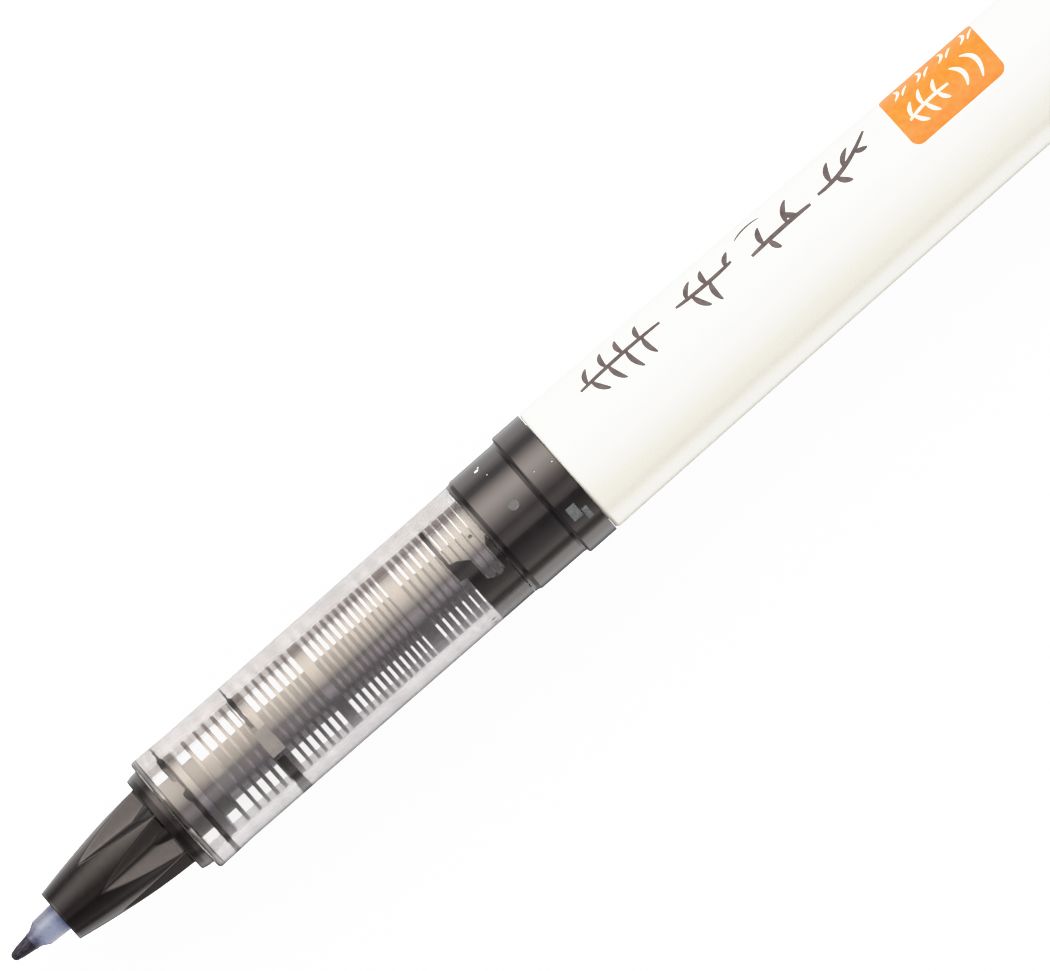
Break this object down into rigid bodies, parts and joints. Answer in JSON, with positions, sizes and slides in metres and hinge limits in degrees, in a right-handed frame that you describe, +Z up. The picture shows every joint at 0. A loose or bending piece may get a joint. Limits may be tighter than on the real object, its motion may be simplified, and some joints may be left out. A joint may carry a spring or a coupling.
{
  "type": "brush sign pen",
  "caption": "Free-ink brush sign pen with a fluted nose, a clear section over a comb ink collector, a pearl barrel and a cap posted on its tail.",
  "frame": {"origin": "on the pen's axis, at the collar's shoulder that the cap seats on", "axes": "+X along the pen from the nib to the tail, +Z up from the surface that the pen lies on"},
  "size_m": [0.1797, 0.0154, 0.013],
  "materials": {
    "nib_fibre": "ink-soaked fibre",
    "nib_sleeve": "translucent",
    "black_moulding": "satin",
    "clear_plastic": "clear polished",
    "cream_moulding": "translucent satin",
    "wick_fibre": "ink-soaked fibre",
    "ink": "wet",
    "smoky_moulding": "glossy",
    "pearl_plastic": "pearl",
    "inner_cap_plastic": "natural",
    "clip_steel": "bright spring strip"
  },
  "bodies": {
    "pen": {"nib_core": "nib_fibre", "nib_sleeve": "nib_sleeve", "nose_cone": "black_moulding", "front_shell": "clear_plastic", "collector": "cream_moulding", "feed_wick": "wick_fibre", "ink_partition": "cream_moulding", "trapped_ink_front": "ink", "trapped_ink_groove": "ink", "trapped_ink_rear": "ink", "tank_ink": "ink", "collar": "smoky_moulding", "barrel": "pearl_plastic", "tail_plug": "smoky_moulding"},
    "cap": {"cap_shell": "pearl_plastic", "inner_cap": "inner_cap_plastic", "cap_crown": "smoky_moulding"},
    "clip": {"clip": "clip_steel"}
  },
  "joints": [
    {"name": "cap_slide", "type": "slide", "parent": "pen", "child": "cap", "axis": [1, 0, 0], "range_m": [0, 0.04]},
    {"name": "clip_spring", "type": "hinge", "parent": "cap", "child": "clip", "pos_m": [0.1221, -0.00569, -0.00354], "axis": [0, -0.529, 0.8486], "range_deg": [0, 6], "stiffness_Nm_per_rad": 0.6}
  ]
}
